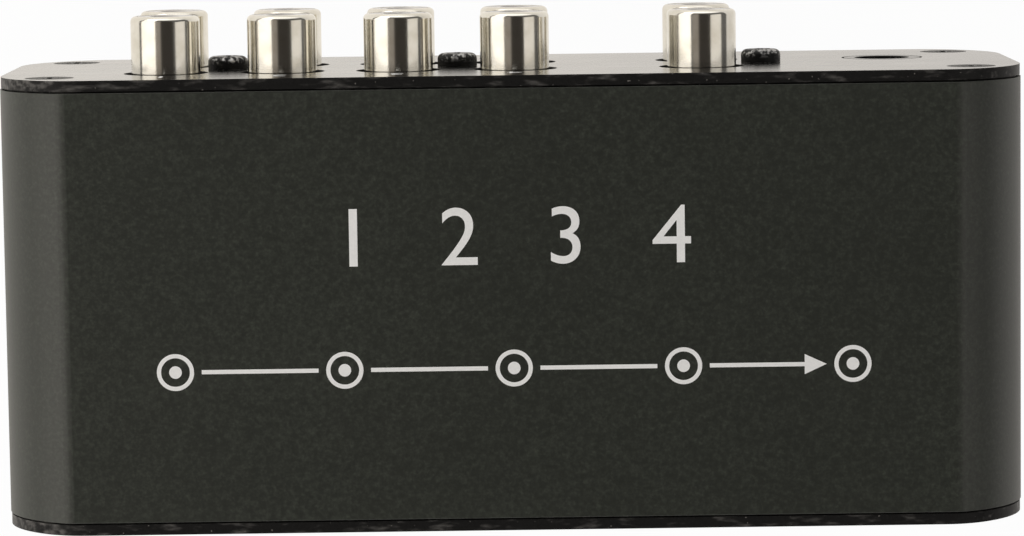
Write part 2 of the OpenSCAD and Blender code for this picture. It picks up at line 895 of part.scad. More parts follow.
// Centre pin of the power inlet, with a round tip and a lead at the back
module power_inlet_pin() {
    tip = rear_out - power_pin_recess;
    color([0.78, 0.76, 0.72]) {
        translate([power_x, 0, power_z]) {
            bar_y(power_tail_d, power_back - tab_t / 2, power_floor - power_back + tab_t);
            bar_y(power_pin_d, power_floor, tip - power_pin_d / 2 - power_floor);
            translate([0, tip - power_pin_d / 2, 0])
                sphere(d = power_pin_d);
        }
        block(
            [power_x - tab_w / 2, power_back - tab_t, tail_z],
            [power_x + tab_w / 2, power_back, power_z + power_tail_d / 2]
        );
    }
}

// Sprung leaf below the inlet's bore, with its lead
module power_inlet_leaf() {
    color([0.8, 0.72, 0.45]) {
        block(
            [power_x - leaf_w / 2, power_back + tab_t + leaf_clear, leaf_z],
            [power_x + leaf_w / 2, rear_in - panel_t - leaf_clear, leaf_z + leaf_t]
        );
        block(
            [power_x - tab_w / 2, leaf_tab_y - tab_t / 2, tail_z],
            [power_x + tab_w / 2, leaf_tab_y + tab_t / 2, leaf_z + leaf_t]
        );
    }
}

// Select button: a round cap, a flange behind the panel and a hub that seats the plunger
module select_button() {
    seat_w = stem_w + 2 * seat_clear;
    color([0.14, 0.14, 0.14])
        translate([button_x, 0, button_z])
            difference() {
                union() {
                    translate([0, cap_back, 0])
                        rotate([90, 0, 0])
                            rotate_extrude()
                                edge_rounded(button_d / 2, cap_back - cap_front, button_edge_r);
                    bar_y(button_d + 2 * button_flange, flange_front, button_flange_t);
                    bar_y(button_hub_d, flange_front, hub_back - flange_front);
                }
                along_y(hub_back - button_seat_l, button_seat_l + over)
                    square(seat_w, center = true);
            }
}

// Plunger: square stem, square shoulder and a round guide for the spring
module switch_plunger() {
    stem_front = hub_back - button_seat_l;
    color([0.85, 0.85, 0.82])
        translate([button_x, 0, button_z]) {
            along_y(stem_front, shoulder_front - stem_front)
                square(stem_w, center = true);
            along_y(shoulder_front, shoulder_t)
                square(shoulder_w, center = true);
            bar_y(guide_d, shoulder_back - shoulder_t / 2, guide_l + shoulder_t / 2);
        }
}

// Housing of the push switch, open at the back
module switch_housing() {
    color([0.07, 0.07, 0.07])
        translate([button_x, 0, button_z])
            difference() {
                along_y(switch_front, switch_l)
                    square(switch_w, center = true);
                along_y(switch_front + switch_wall, switch_l)
                    square(chamber_w, center = true);
                along_y(switch_front - over, switch_wall + 2 * over)
                    square(stem_w + 2 * stem_gap, center = true);
            }
}

// Base that closes the back of the switch
module switch_base() {
    color([0.55, 0.45, 0.3])
        translate([button_x, 0, button_z])
            along_y(switch_back, switch_base_t)
                square(switch_w, center = true);
}

// Points of one ring of the spring's wire, at turn t, around a coil on the Y axis
function spring_ring(t, sides) = [
    for (k = [0:sides - 1])
        let (
            a = 360 * t,
            b = 360 * k / sides,
            r = spring_d / 2 + spring_wire_d / 2 * cos(b),
            rise = (spring_back - spring_front - spring_wire_d) * t / spring_turns
        )
        [r * cos(a), spring_front + spring_wire_d / 2 + rise + spring_wire_d / 2 * sin(b), r * sin(a)]
];

// Return spring: one unbroken coil of round wire
module switch_spring() {
    sides = 8;
    rings = ceil(spring_turns * 12) + 1;
    points = [for (i = [0:rings - 1]) each spring_ring(spring_turns * i / (rings - 1), sides)];
    skin = [
        for (i = [0:rings - 2], k = [0:sides - 1])
            let (p = i * sides + k, q = i * sides + (k + 1) % sides)
            each [[p, q, q + sides], [p, q + sides, p + sides]]
    ];
    near_end = [for (k = [1:sides - 2]) [0, k + 1, k]];
    last = (rings - 1) * sides;
    far_end = [for (k = [1:sides - 2]) [last, last + k, last + k + 1]];
    color([0.7, 0.7, 0.7])
        translate([button_x, 0, button_z])
            polyhedron(points, concat(skin, near_end, far_end));
}

// Six terminals of the switch, down through the board
module switch_terminals() {
    color([0.78, 0.76, 0.72])
        for (x = terminal_x, y = terminal_y)
            block(
                [x - terminal_w / 2, y - terminal_w / 2, tail_z],
                [x + terminal_w / 2, y + terminal_w / 2, board_top]
            );
}

// One channel lamp, its dome through the panel and its rim inside
module channel_lamp(x) {
    color([0.2, 0.6, 0.25])
        translate([x, 0, button_z]) {
            translate([0, lamp_tip + lamp_d / 2, 0])
                sphere(d = lamp_d);
            bar_y(lamp_d, lamp_tip + lamp_d / 2, lamp_l - lamp_d / 2);
            bar_y(lamp_rim_d, lamp_back - lamp_rim_t, lamp_rim_t);
        }
}

// Two bent wires from each lamp down through the board
module lamp_leads() {
    color([0.78, 0.76, 0.72])
        for (x = lamp_x, s = [-1, 1])
            translate([x + s * lamp_lead_pitch / 2, 0, 0]) {
                translate([0, 0, button_z])
                    bar_y(lamp_lead_d, lamp_back, lamp_lead_run);
                translate([0, lamp_bend, button_z])
                    sphere(d = lamp_lead_d);
                translate([0, lamp_bend, tail_z])
                    cylinder(d = lamp_lead_d, h = button_z - tail_z);
            }
}

// Dark window in the front panel, with a flange against the panel's inner face
module remote_window() {
    color([0.12, 0.02, 0.02])
        translate([remote_x, 0, button_z]) {
            along_y(front_out, panel_t)
                square([window_w - 2 * window_clear, window_h - 2 * window_clear], center = true);
            along_y(front_in, window_flange_t)
                square([window_w + 2 * window_flange, window_h], center = true);
        }
}

// Remote receiver on the board, its lens towards the window
module remote_receiver() {
    color([0.06, 0.06, 0.07]) {
        block(
            [remote_x - receiver_w / 2, lens_y, board_top],
            [remote_x + receiver_w / 2, lens_y + receiver_t, button_z + receiver_over]
        );
        translate([remote_x, lens_y, button_z])
            sphere(r = receiver_lens_r);
    }
}

// Chip with a row of flat leads along each long side, centred at x and y on the board
module board_chip(x, y) {
    color([0.05, 0.05, 0.055])
        translate([x, y, board_top]) {
            translate([-chip_l / 2, -chip_w / 2, chip_lift])
                cube([chip_l, chip_w, chip_t]);
            for (s = [-1, 1], k = [0:chip_leads - 1])
                translate([(k - (chip_leads - 1) / 2) * chip_pitch - chip_lead_w / 2, 0, 0]) {
                    translate([0, s * (chip_w + chip_reach) / 2 - chip_reach / 2, 0])
                        cube([chip_lead_w, chip_reach, chip_lead_t]);
                    translate([0, s * chip_w / 2 - chip_lead_t, 0])
                        cube([chip_lead_w, 2 * chip_lead_t, chip_lift + chip_t / 2]);
                }
        }
}

// Chip that switches the left channel
module left_switch_chip() {
    board_chip(block_1_x, block_back - chip_space);
}

// Chip that switches the right channel
module right_switch_chip() {
    board_chip(block_2_x, block_back - chip_space);
}

// Chip that reads the button and the receiver
module controller_chip() {
    board_chip(lamp_mid_x, board_front + controller_space);
}

// Regulator beside the power inlet, with a drilled metal tab
module voltage_regulator() {
    y1 = power_back - tab_t - regulator_space;
    color([0.08, 0.08, 0.085])
        difference() {
            union() {
                block(
                    [power_x - regulator_w / 2, y1 - regulator_t, board_top],
                    [power_x + regulator_w / 2, y1, board_top + regulator_h]
                );
                block(
                    [power_x - regulator_w / 2, y1 - regulator_tab_t, board_top],
                    [power_x + regulator_w / 2, y1, board_top + regulator_h + regulator_tab_h]
                );
            }
            translate([power_x, 0, board_top + regulator_h + regulator_tab_h / 2])
                bar_y(regulator_hole_d, y1 - regulator_t - over, regulator_t + 2 * over);
        }
}

// Two upright capacitors between the output block and the lamps
module capacitors() {
    color([0.12, 0.14, 0.3])
        for (s = [-1, 1])
            translate([output_x + s * capacitor_pitch / 2, block_back - chip_space, board_top])
                cylinder(d = capacitor_d, h = capacitor_h);
}

// Four rubber feet stuck under the shell
module rubber_feet() {
    foot_x = body_w / 2 - foot_inset_x;
    foot_y = body_l / 2 - foot_inset_y;
    color([0.05, 0.05, 0.05])
        for (x = [-foot_x, foot_x], y = [mid_y - foot_y, mid_y + foot_y])
            translate([x, y, 0]) {
                cylinder(d1 = foot_d - 2 * foot_bevel, d2 = foot_d, h = foot_bevel);
                translate([0, 0, foot_bevel])
                    cylinder(d = foot_d, h = foot_h - foot_bevel);
            }
}

top_shell();
bottom_shell();
rear_panel();
front_panel();
rear_panel_screws();
front_panel_screws();
main_board();
inputs_1_2_block();
inputs_3_4_block();
output_block();
inputs_1_2_contacts();
inputs_3_4_contacts();
output_contacts();
socket_block_screws();
socket_sleeve(input_x[0], upper_z);  // input_1_upper_sleeve
socket_sleeve(input_x[0], lower_z);  // input_1_lower_sleeve
socket_sleeve(input_x[1], upper_z);  // input_2_upper_sleeve
socket_sleeve(input_x[1], lower_z);  // input_2_lower_sleeve
socket_sleeve(input_x[2], upper_z);  // input_3_upper_sleeve
socket_sleeve(input_x[2], lower_z);  // input_3_lower_sleeve
socket_sleeve(input_x[3], upper_z);  // input_4_upper_sleeve
socket_sleeve(input_x[3], lower_z);  // input_4_lower_sleeve
socket_sleeve(output_x, upper_z);  // output_upper_sleeve
socket_sleeve(output_x, lower_z);  // output_lower_sleeve
socket_insulator(input_x[0], upper_z);  // input_1_upper_insulator
socket_insulator(input_x[0], lower_z);  // input_1_lower_insulator
socket_insulator(input_x[1], upper_z);  // input_2_upper_insulator
socket_insulator(input_x[1], lower_z);  // input_2_lower_insulator
socket_insulator(input_x[2], upper_z);  // input_3_upper_insulator
socket_insulator(input_x[2], lower_z);  // input_3_lower_insulator
socket_insulator(input_x[3], upper_z);  // input_4_upper_insulator
socket_insulator(input_x[3], lower_z);  // input_4_lower_insulator
socket_insulator(output_x, upper_z);  // output_upper_insulator
socket_insulator(output_x, lower_z);  // output_lower_insulator
power_inlet_body();
power_inlet_pin();
power_inlet_leaf();
select_button();
switch_plunger();
switch_housing();
switch_base();
switch_spring();
switch_terminals();
channel_lamp(lamp_x[0]);  // channel_1_lamp
channel_lamp(lamp_x[1]);  // channel_2_lamp
channel_lamp(lamp_x[2]);  // channel_3_lamp
channel_lamp(lamp_x[3]);  // channel_4_lamp
lamp_leads();
remote_window();
remote_receiver();
left_switch_chip();
right_switch_chip();
controller_chip();
voltage_regulator();
capacitors();
rubber_feet();
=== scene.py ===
"""Looks of a black selector box for four stereo sources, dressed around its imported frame."""

import json
import math

import bmesh
import bpy
from mathutils import Euler, Matrix, Vector


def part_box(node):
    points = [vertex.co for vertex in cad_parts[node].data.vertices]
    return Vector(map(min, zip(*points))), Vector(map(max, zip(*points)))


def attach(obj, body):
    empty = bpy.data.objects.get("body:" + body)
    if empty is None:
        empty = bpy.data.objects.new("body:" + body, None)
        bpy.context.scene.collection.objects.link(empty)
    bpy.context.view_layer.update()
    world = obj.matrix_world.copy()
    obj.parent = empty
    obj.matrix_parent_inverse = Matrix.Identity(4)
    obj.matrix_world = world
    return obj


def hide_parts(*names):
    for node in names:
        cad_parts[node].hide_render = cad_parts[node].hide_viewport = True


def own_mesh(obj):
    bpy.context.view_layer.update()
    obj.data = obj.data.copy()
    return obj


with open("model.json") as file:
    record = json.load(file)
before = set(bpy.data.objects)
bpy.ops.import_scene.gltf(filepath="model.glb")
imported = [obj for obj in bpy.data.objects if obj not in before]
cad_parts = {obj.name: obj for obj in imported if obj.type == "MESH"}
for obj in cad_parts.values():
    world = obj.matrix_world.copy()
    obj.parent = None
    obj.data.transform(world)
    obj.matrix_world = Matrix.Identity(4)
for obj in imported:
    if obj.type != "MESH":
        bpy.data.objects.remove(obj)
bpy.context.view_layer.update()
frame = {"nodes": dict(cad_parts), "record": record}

MM = 0.001

# Places on the box, read from the frame
SHELL_LOW, SHELL_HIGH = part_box("top_shell")
COVER_MID = Vector((0, (SHELL_LOW.y + SHELL_HIGH.y) / 2, SHELL_HIGH.z))
REAR_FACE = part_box("rear_panel")[1].y
FRONT_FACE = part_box("front_panel")[0].y
CHANNELS = (1, 2, 3, 4)

# White ink: how thick it lies and how deep it bites into the surface below
INK_T = 0.02 * MM
INK_BITE = 0.01 * MM

# Numbers on the cover: height, distance from the first to the last and place behind the cover's middle
COVER_NUMBER_H = 6.8 * MM
COVER_NUMBER_SPAN = 37.5 * MM
COVER_NUMBER_Y = 8.1 * MM

# Diagram of four sockets that lead to one, in front of the cover's middle
DIAGRAM_Y = -7.6 * MM
DIAGRAM_SPAN = 80 * MM
SOCKET_MARK_D = 4.4 * MM
SOCKET_MARK_LINE = 0.5 * MM
SOCKET_MARK_DOT_D = 1.5 * MM
SOCKET_MARK_GAP = 0.9 * MM
SOCKET_MARK_SIDES = 48
ARROW_L = 2.6 * MM
ARROW_W = 2.4 * MM

# Small numbers on the end panels: height, and rise over the sockets and over the lamps
PANEL_NUMBER_H = 2.8 * MM
REAR_NUMBER_RISE = 3.9 * MM
FRONT_NUMBER_RISE = 4.6 * MM

# More bare-metal patches towards the end panels' left corners: how far in they are most frequent, and how
# far they reach
LEFT_PATCHES_FULL = 4 * MM
LEFT_PATCHES_END = 14 * MM

# Rubbed tops of the raised screw heads: height over the panel where the rubbing begins and is full
RUBBED_FROM = 0.5 * MM
RUBBED_FULL = 1.2 * MM

# Broken edges: rays that find them, and 1 - cosine of the normal's turn where they begin and are full
EDGE_RAYS = 6
EDGE_BLEND = (0.01, 0.12)

# Camera over the cover: sensor and lens in millimetres, turn in degrees and place in its own axes
SENSOR_W = 36.0
LENS = 146.25
CAMERA_TURN = (-6.029, 0, -0.773)
CAMERA_OFFSET = Vector((-0.16, 4.25, 490.4)) * MM

# Upright soft boxes at the sides: place along X, lower and upper edge, length along Y, radiance and colour
LEFT_BOX = {"x": -0.215, "low": 0.062, "high": 0.347, "length": 1.2, "radiance": 1.42}
RIGHT_BOX = {"x": 0.167, "low": 0.095, "high": 0.3, "length": 0.17, "radiance": 0.72}
LAMP_COLOUR = (1.0, 0.94, 0.865)

# Room: brightness and warmth of its walls, at the sides and at the ends
SIDE_WALL = 0.12
END_WALL = 1.4
WALL_WARMTH = 0.03
# Where the end walls begin and are full, as the square of how far a direction points along Y
END_WALL_BLEND = (0.38, 0.72)

# Ceiling: brightness at the left and over the rest, warmth, and the direction's X from the left to the rest
CEILING_LEFT = 0.25
CEILING_REST = 0.035
CEILING_WARMTH = 0.12
CEILING_BLEND = (-0.24, -0.13)
# Angle from straight up, in degrees, within which the ceiling is full and beyond which the walls are
CEILING_FULL = 28
CEILING_GONE = 36

# Floor: its width, its faint patches, its share of plain white, its painted light in reflections (lighter on
# the left, darker on the right) and where they meet
FLOOR_W = 4.0
FLOOR_PATCH_W = 0.2
FLOOR_GLOW = 0.97
FLOOR_PAINTED_LIGHT_LEFT = (0.97, 0.92, 0.85, 1)
FLOOR_PAINTED_SHADE_RIGHT = (0.78, 0.745, 0.705, 1)
FLOOR_BLEND = (-0.05, 0.14)


class Wire:
    """One output of a shader tree, used in plain Python expressions."""

    def __init__(self, tree, socket):
        self.tree = tree
        self.socket = socket

    def _math(self, operation, first, second):
        return self.tree.node("ShaderNodeMath", {"operation": operation}, {0: first, 1: second})

    def __add__(self, other):
        return self._math("ADD", self, other)

    def __radd__(self, other):
        return self._math("ADD", other, self)

    def __sub__(self, other):
        return self._math("SUBTRACT", self, other)

    def __rsub__(self, other):
        return self._math("SUBTRACT", other, self)

    def __mul__(self, other):
        return self._math("MULTIPLY", self, other)

    def __rmul__(self, other):
        return self._math("MULTIPLY", other, self)

    def either(self, other):
        """The larger of two values."""
        return self._math("MAXIMUM", self, other)

    def step(self, low, high):
        """0 below low, 1 above high and a smooth rise between them."""
        return self.tree.node(
            "ShaderNodeMapRange",
            {"interpolation_type": "SMOOTHSTEP"},
            {"Value": self, "From Min": low, "From Max": high},
        )


class Tree:
    """A shader tree that is being wired."""

    def __init__(self, node_tree):
        self.node_tree = node_tree

    def node(self, kind, settings=None, sockets=None, output=0):
        """Adds a node, sets its settings, then its sockets, and returns one of its outputs."""
        made = self.node_tree.nodes.new(kind)
        for name, value in (settings or {}).items():
            setattr(made, name, value)
        for key, value in (sockets or {}).items():
            self.feed(made.inputs[key], value)
        return Wire(self, made.outputs[output])

    def feed(self, socket, value):
        """Links a wire to a socket, or sets a plain value on it."""
        if isinstance(value, Wire):
            self.node_tree.links.new(value.socket, socket)
        else:
            socket.default_value = value

    def mix(self, factor, first, second):
        """Colour between two colours."""
        sockets = {0: factor, 6: first, 7: second}
        return self.node("ShaderNodeMix", {"data_type": "RGBA"}, sockets, output=2)

    def part(self, axis, vector):
        """Share of a vector along X, Y or Z."""
        return self.node("ShaderNodeSeparateXYZ", None, {0: vector}, output=axis)


class Finish(Tree):
    """A material with one principled shader, and the patterns that its surface shows."""

    def __init__(self, name, **constants):
        self.material = bpy.data.materials.new(name)
        self.material.use_nodes = True
        super().__init__(self.material.node_tree)
        self.shader = self.node_tree.nodes["Principled BSDF"]
        for socket, value in constants.items():
            self.shader.inputs[socket.replace("_", " ")].default_value = value
        self.place = self.node("ShaderNodeTexCoord", output="Object")

    def set(self, **wires):
        """Feeds the shader's sockets."""
        for socket, wire in wires.items():
            self.feed(self.shader.inputs[socket.replace("_", " ")], wire)
        return self

    def noise(self, size, detail=2.0, stretch=(1, 1, 1)):
        """Random patches about size metres wide, from 0 to 1."""
        place = self.node(
            "ShaderNodeVectorMath", {"operation": "MULTIPLY"}, {0: self.place, 1: stretch}
        )
        sockets = {"Vector": place, "Scale": 1 / size, "Detail": detail}
        return self.node("ShaderNodeTexNoise", None, sockets, output="Fac")

    def bevelled(self, radius):
        """Normal of the surface with its sharp edges broken."""
        return self.node("ShaderNodeBevel", {"samples": EDGE_RAYS}, {"Radius": radius})

    def edges(self, broken):
        """1 on the broken edges, 0 on the faces."""
        plain = self.node("ShaderNodeNewGeometry", output="Normal")
        agree = self.node(
            "ShaderNodeVectorMath", {"operation": "DOT_PRODUCT"}, {0: broken, 1: plain}, output="Value"
        )
        return (1 - agree).step(*EDGE_BLEND)

    def relief(self, height, depth, normal=None):
        """Normal of a surface that is raised by depth metres where height is 1."""
        sockets = {"Height": height, "Distance": depth, "Strength": 1.0}
        if normal is not None:
            sockets["Normal"] = normal
        return self.node("ShaderNodeBump", None, sockets)


def grey(level, warm=0.0):
    """Neutral colour, made a little warmer."""
    return (level * (1 + warm), level, level * (1 - warm), 1)


# Dull metal that shows where the black skin is knocked off
BARE_ALUMINIUM = grey(0.12, 0.03)


def blasted_shell():
    """Black anodised extrusion with a fine blasted grain and bright nicks along its cut edges."""
    finish = Finish("blasted_shell", IOR=1.56)
    grain = finish.noise(0.3 * MM)
    mottle = finish.noise(0.55 * MM)
    cloud = finish.noise(30 * MM)
    broken = finish.bevelled(0.15 * MM)
    nicks = finish.edges(broken) * finish.noise(0.8 * MM).step(0.66, 0.78)
    shade = (0.35 * grain + 0.5 * mottle + 0.15 * cloud).step(0.38, 0.92)
    deep = (0.0145, 0.0175, 0.0134, 1)
    pale = (0.0505, 0.0605, 0.0467, 1)
    body = finish.mix(shade, deep, pale)
    return finish.set(
        Base_Color=finish.mix(nicks, body, BARE_ALUMINIUM),
        Roughness=0.38 + 0.12 * mottle,
        Normal=finish.relief(0.4 * grain + 0.6 * mottle, 0.012 * MM, broken),
    )


def smooth_panel():
    """Black anodised sheet: a satin face with faint handling marks, and matt edges, scuffed and dusty."""
    finish = Finish("smooth_panel", IOR=1.5, Specular_IOR_Level=0.1, Coat_Roughness=0.2, Coat_IOR=1.4)
    grain = finish.noise(0.3 * MM, detail=3)
    smear = finish.noise(9 * MM, detail=3, stretch=(1, 1, 2.5))
    broken = finish.bevelled(0.2 * MM)
    normal = finish.node("ShaderNodeNewGeometry", output="Normal")
    outward = finish.part("Y", normal)
    edge = (1 - outward * outward).step(0.3, 0.8)
    across = finish.part("X", finish.place)
    # More bare-metal patches on the panel edges towards the left end, full near it and fading out further in
    left_patches = 1 - across.step(SHELL_LOW.x + LEFT_PATCHES_FULL, SHELL_LOW.x + LEFT_PATCHES_END)
    marks = finish.noise(0.8 * MM, detail=4, stretch=(0.3, 1, 1)) + 0.13 * left_patches
    scuffs = edge * marks.step(0.52, 0.86)
    dust = edge * finish.noise(0.4 * MM, detail=0).step(0.8, 0.86)
    face = finish.mix(grain, grey(0.005, 0.04), grey(0.009, 0.04))
    sawn = finish.mix(grain, grey(0.008), grey(0.017))
    body = finish.mix(scuffs, finish.mix(edge, face, sawn), BARE_ALUMINIUM)
    return finish.set(
        Base_Color=finish.mix(dust, body, grey(0.16, 0.05)),
        Roughness=0.22 + 0.1 * smear + 0.1 * edge,
        Coat_Weight=(1 - 0.1 * smear) * (1 - edge),
        Normal=finish.relief(grain * (0.1 + 0.9 * edge), 0.015 * MM, broken),
    )


def bright_nickel():
    """Polished nickel plate with faint turning lines and a few dull spots."""
    finish = Finish("bright_nickel", Metallic=1.0)
    tarnish = finish.noise(2.5 * MM, detail=4)
    lines = finish.noise(0.1 * MM, detail=1, stretch=(0.05, 1, 0.05))
    clean = (0.82, 0.8, 0.735, 1)
    dull = (0.73, 0.7, 0.62, 1)
    return finish.set(
        Base_Color=finish.mix(tarnish.step(0.35, 0.75), clean, dull),
        Roughness=0.1 + 0.1 * tarnish,
        Normal=finish.relief(lines, 0.0006 * MM),
    )


def black_zinc():
    """Black plated screw steel with a rough skin, bare where tools have rubbed it."""
    finish = Finish("black_zinc", IOR=1.5, Specular_IOR_Level=0.25)
    grain = finish.noise(0.45 * MM, detail=3)
    broken = finish.bevelled(0.1 * MM)
    worn = finish.noise(0.55 * MM, detail=3)
    raised = finish.part("Y", finish.place) - REAR_FACE
    crown = raised.step(RUBBED_FROM, RUBBED_FULL) * worn.step(0.47, 0.64)
    rubbed = (finish.edges(broken) * worn.step(0.4, 0.6)).either(crown)
    body = finish.mix(grain, grey(0.004), grey(0.012))
    return finish.set(
        Base_Color=finish.mix(rubbed, body, grey(0.5)),
        Metallic=0.9 * rubbed,
        Roughness=0.3 + 0.3 * grain,
        Normal=finish.relief(grain, 0.07 * MM, broken),
    )


def moulded(name, dark, light, roughness, grain_size=0.3 * MM, depth=0.004 * MM):
    """Moulded plastic or rubber with a fine grain and a slow change of tone."""
    finish = Finish(name, IOR=1.5)
    grain = finish.noise(grain_size, detail=3)
    cloud = finish.noise(8 * MM)
    broken = finish.bevelled(0.1 * MM)
    return finish.set(
        Base_Color=finish.mix(0.6 * cloud + 0.4 * grain, dark, light),
        Roughness=roughness + 0.12 * grain,
        Normal=finish.relief(grain, depth, broken),
    )


def metal(name, dark, light, roughness):
    """Plated or plain metal of the small inner pieces, slightly stained."""
    finish = Finish(name, Metallic=1.0)
    stain = finish.noise(0.8 * MM, detail=4)
    return finish.set(
        Base_Color=finish.mix(stain.step(0.3, 0.7), light, dark),
        Roughness=roughness + 0.15 * stain,
        Normal=finish.relief(stain, 0.002 * MM),
    )


def solder_mask():
    """Green board with paler, raised copper runs under its mask."""
    finish = Finish("solder_mask", IOR=1.5)
    across = finish.node(
        "ShaderNodeTexWave",
        {"wave_type": "BANDS", "bands_direction": "X"},
        {"Vector": finish.place, "Scale": 90.0, "Distortion": 3.0, "Detail": 1.0},
        output="Fac",
    )
    runs = across.step(0.55, 0.65) * finish.noise(6 * MM).step(0.45, 0.5)
    ground = (0.01, 0.085, 0.035, 1)
    covered_copper = (0.03, 0.17, 0.07, 1)
    return finish.set(
        Base_Color=finish.mix(runs, ground, covered_copper),
        Roughness=0.3 + 0.15 * finish.noise(0.5 * MM),
        Normal=finish.relief(runs, 0.03 * MM),
    )


def lamp_lens():
    """Green, slightly cloudy lamp plastic."""
    finish = Finish("lamp_lens", IOR=1.49, Transmission_Weight=0.35)
    cloud = finish.noise(1.2 * MM)
    deep = (0.09, 0.42, 0.11, 1)
    pale = (0.16, 0.58, 0.18, 1)
    return finish.set(
        Base_Color=finish.mix(cloud, deep, pale),
        Roughness=0.18 + 0.1 * cloud,
    )


def window_plastic():
    """Dark red plastic that lets the remote's light through, with fine wiping marks."""
    finish = Finish("window_plastic", IOR=1.49, Coat_Weight=0.4, Coat_Roughness=0.05)
    wipes = finish.noise(0.6 * MM, detail=3, stretch=(0.2, 1, 1))
    deep = (0.018, 0.0015, 0.002, 1)
    wiped = (0.035, 0.003, 0.004, 1)
    return finish.set(
        Base_Color=finish.mix(wipes, deep, wiped),
        Roughness=0.1 + 0.1 * wipes,
    )


def white_ink():
    """Screen-printed white with a slightly uneven coat."""
    finish = Finish("white_ink", IOR=1.45)
    coat = finish.noise(0.35 * MM, detail=3)
    thin = (0.88, 0.9, 0.915, 1)
    thick = (0.93, 0.945, 0.955, 1)
    return finish.set(
        Base_Color=finish.mix(coat.step(0.25, 0.75), thin, thick),
        Roughness=0.5 + 0.15 * coat,
        Normal=finish.relief(coat, 0.006 * MM),
    )


def slot_finishes():
    """One finish for each of the record's material slots."""
    return {
        "shell": blasted_shell(),
        "panel": smooth_panel(),
        "black_screw": black_zinc(),
        "nickel": bright_nickel(),
        "board": solder_mask(),
        "lamp": lamp_lens(),
        "window": window_plastic(),
        "contact": metal("spring_brass", (0.5, 0.38, 0.16, 1), (0.75, 0.62, 0.34, 1), 0.25),
        "spring": metal("spring_steel", grey(0.35), grey(0.62), 0.25),
        "tinned_wire": metal("tinned_wire", grey(0.45), grey(0.72, 0.02), 0.3),
        "socket_block": moulded("socket_block_plastic", grey(0.009), grey(0.015), 0.45),
        "insulator": moulded("white_insulator", grey(0.76, 0.02), grey(0.86, 0.02), 0.35),
        "inlet": moulded("inlet_plastic", grey(0.007), grey(0.013), 0.14, depth=0.0015 * MM),
        "button": moulded("button_plastic", grey(0.012), grey(0.02), 0.24),
        "plunger": moulded("plunger_plastic", grey(0.55, 0.04), grey(0.7, 0.04), 0.4),
        "switch_housing": moulded("switch_plastic", grey(0.011), grey(0.018), 0.4),
        "switch_base": moulded("switch_laminate", (0.2, 0.12, 0.05, 1), (0.32, 0.21, 0.1, 1), 0.55),
        "chip": moulded("chip_plastic", grey(0.011), grey(0.018), 0.5),
        "capacitor": moulded("capacitor_sleeve", (0.012, 0.018, 0.09, 1), (0.025, 0.035, 0.14, 1), 0.3),
        "foot": moulded("foot_rubber", grey(0.009), grey(0.017), 0.68, 0.2 * MM, 0.02 * MM),
    }


def dress_nodes(finishes):
    """Gives each CAD node the finish of its slot."""
    for part in frame["record"]["subparts"]:
        mesh = frame["nodes"][part["node"]].data
        mesh.materials.clear()
        mesh.materials.append(finishes[part["material_slot"]].material)


def return_spring(finish):
    """Coil of the switch, a copy that stands for its CAD node and is fixed to the case; the real coil
    shortens as the button goes in.
    """
    mesh = frame["nodes"]["switch_spring"].data.copy()
    mesh.materials.clear()
    mesh.materials.append(finish.material)
    spring = bpy.data.objects.new("return_spring", mesh)
    bpy.context.scene.collection.objects.link(spring)
    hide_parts("switch_spring")
    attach(spring, "case")
    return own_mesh(spring)


def digit_outline(text, height):
    """Flat filled shape of one number, centred, with the given height."""
    curve = bpy.data.curves.new("number", "FONT")
    curve.body = text
    curve.fill_mode = "FRONT"
    writing = bpy.data.objects.new("number", curve)
    bpy.context.scene.collection.objects.link(writing)
    evaluated = writing.evaluated_get(bpy.context.evaluated_depsgraph_get())
    filled = bpy.data.meshes.new_from_object(evaluated)
    shape = bmesh.new()
    shape.from_mesh(filled)
    bpy.data.meshes.remove(filled)
    bpy.data.objects.remove(writing)
    bpy.data.curves.remove(curve)
    for face in shape.faces:
        face.smooth = False
    low = Vector(min(v.co[i] for v in shape.verts) for i in range(3))
    high = Vector(max(v.co[i] for v in shape.verts) for i in range(3))
    bmesh.ops.translate(shape, vec=-(low + high) / 2, verts=shape.verts)
    bmesh.ops.scale(shape, vec=Vector((1, 1, 1)) * height / (high.y - low.y), verts=shape.verts)
    return shape


def circle(shape, diameter):
    """Points round the middle of a flat shape."""
    sides = SOCKET_MARK_SIDES
    angles = [2 * math.pi * i / sides for i in range(sides)]
    return [shape.verts.new((diameter / 2 * math.cos(a), diameter / 2 * math.sin(a), 0)) for a in angles]


def disc(diameter):
    """Flat round shape."""
    shape = bmesh.new()
    shape.faces.new(circle(shape, diameter))
    return shape


def ring(outer_d, inner_d):
    """Flat round shape with a round hole."""
    shape = bmesh.new()
    outer = circle(shape, outer_d)
    inner = circle(shape, inner_d)
    for i in range(len(outer)):
        shape.faces.new((outer[i - 1], outer[i], inner[i], inner[i - 1]))
    return shape


def outline(points):
    """Flat shape with straight sides."""
    shape = bmesh.new()
    shape.faces.new([shape.verts.new((x, y, 0)) for x, y in points])
    return shape


def bar(x0, x1, width):
    """Straight stroke along X."""
    return outline([(x0, -width / 2), (x1, -width / 2), (x1, width / 2), (x0, width / 2)])


